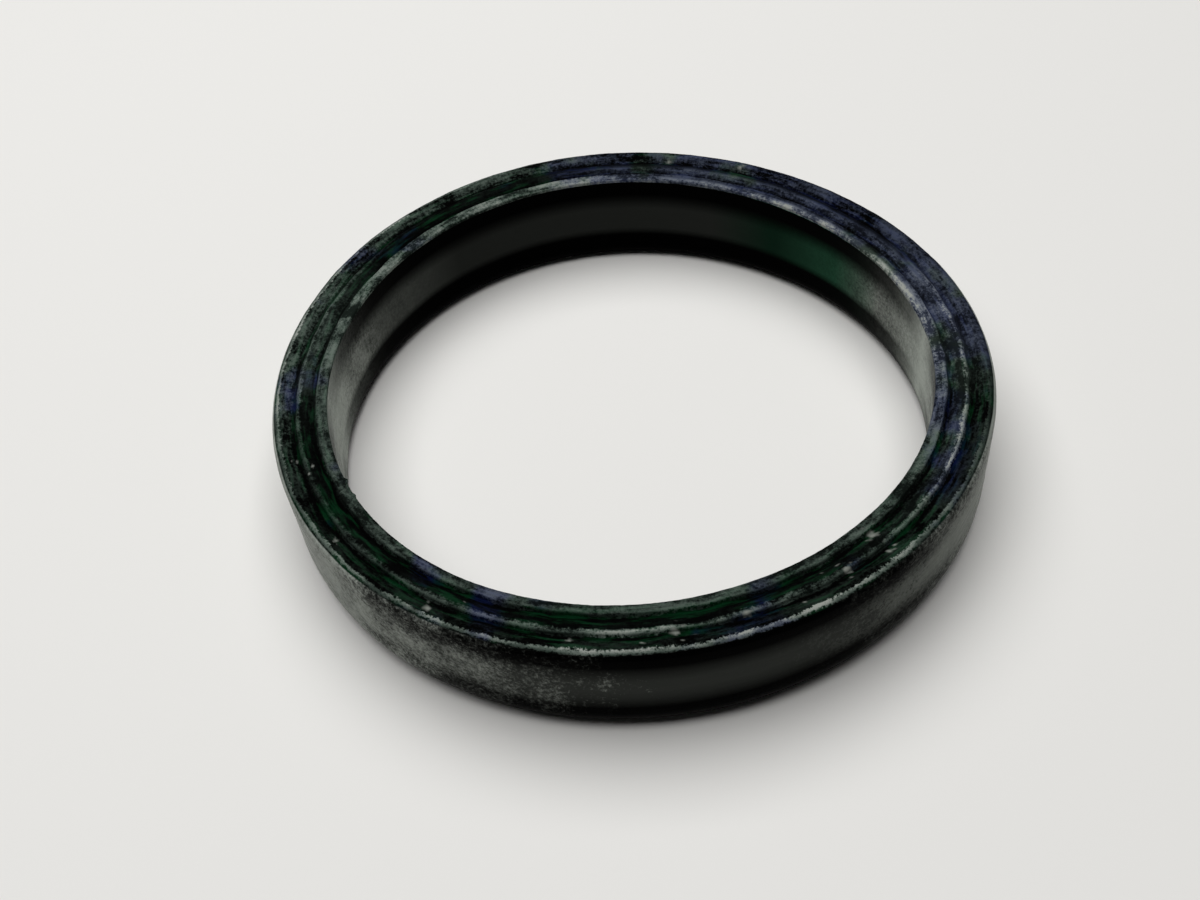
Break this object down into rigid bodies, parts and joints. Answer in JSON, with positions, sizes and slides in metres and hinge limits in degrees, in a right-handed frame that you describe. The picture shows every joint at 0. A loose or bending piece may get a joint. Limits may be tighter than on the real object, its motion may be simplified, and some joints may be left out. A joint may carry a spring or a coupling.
{
  "type": "rubber cushion ring",
  "caption": "Moulded black rubber cushion ring: a short thick-walled tube with concentric ribs and grooves on its top face, seated round a part to damp and seal it.",
  "frame": {"origin": "middle of the underside, on the ring's axis", "axes": "+Z along the ring's axis, from the plain underside to the ribbed top face; X and Y are free, because the ring is round"},
  "size_m": [0.0734, 0.0734, 0.012],
  "materials": {
    "rubber": "matte moulded, satin on the walls and gritty on the ribbed top"
  },
  "bodies": {
    "root": {"cushion_ring": "rubber"}
  },
  "joints": []
}
